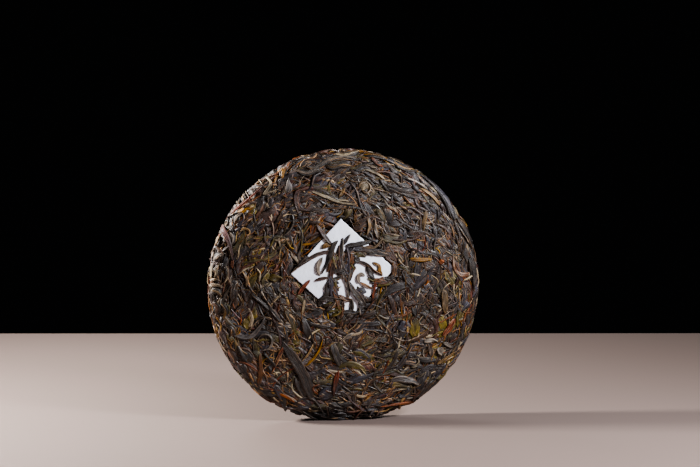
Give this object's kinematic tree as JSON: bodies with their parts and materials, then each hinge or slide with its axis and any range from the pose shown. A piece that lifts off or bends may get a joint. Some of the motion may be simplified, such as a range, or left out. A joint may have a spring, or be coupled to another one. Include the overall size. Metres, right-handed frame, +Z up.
{
  "type": "pu erh tea cake",
  "caption": "Round pressed cake of raw pu erh tea leaves with a paper ticket set in its domed face, standing on its rim.",
  "frame": {"origin": "centre of the bounding box's base: the middle of the flat foot of the rim", "axes": "+Z up, the domed face with the ticket looks along -Y, the cake's own axis is along Y, +X to the right seen from the front"},
  "size_m": [0.2006, 0.0284, 0.1972],
  "materials": {
    "pressed_tea": "matte",
    "ticket_paper": "matte"
  },
  "bodies": {
    "root": {"tea_cake": "pressed_tea", "paper_ticket": "ticket_paper"}
  },
  "joints": []
}
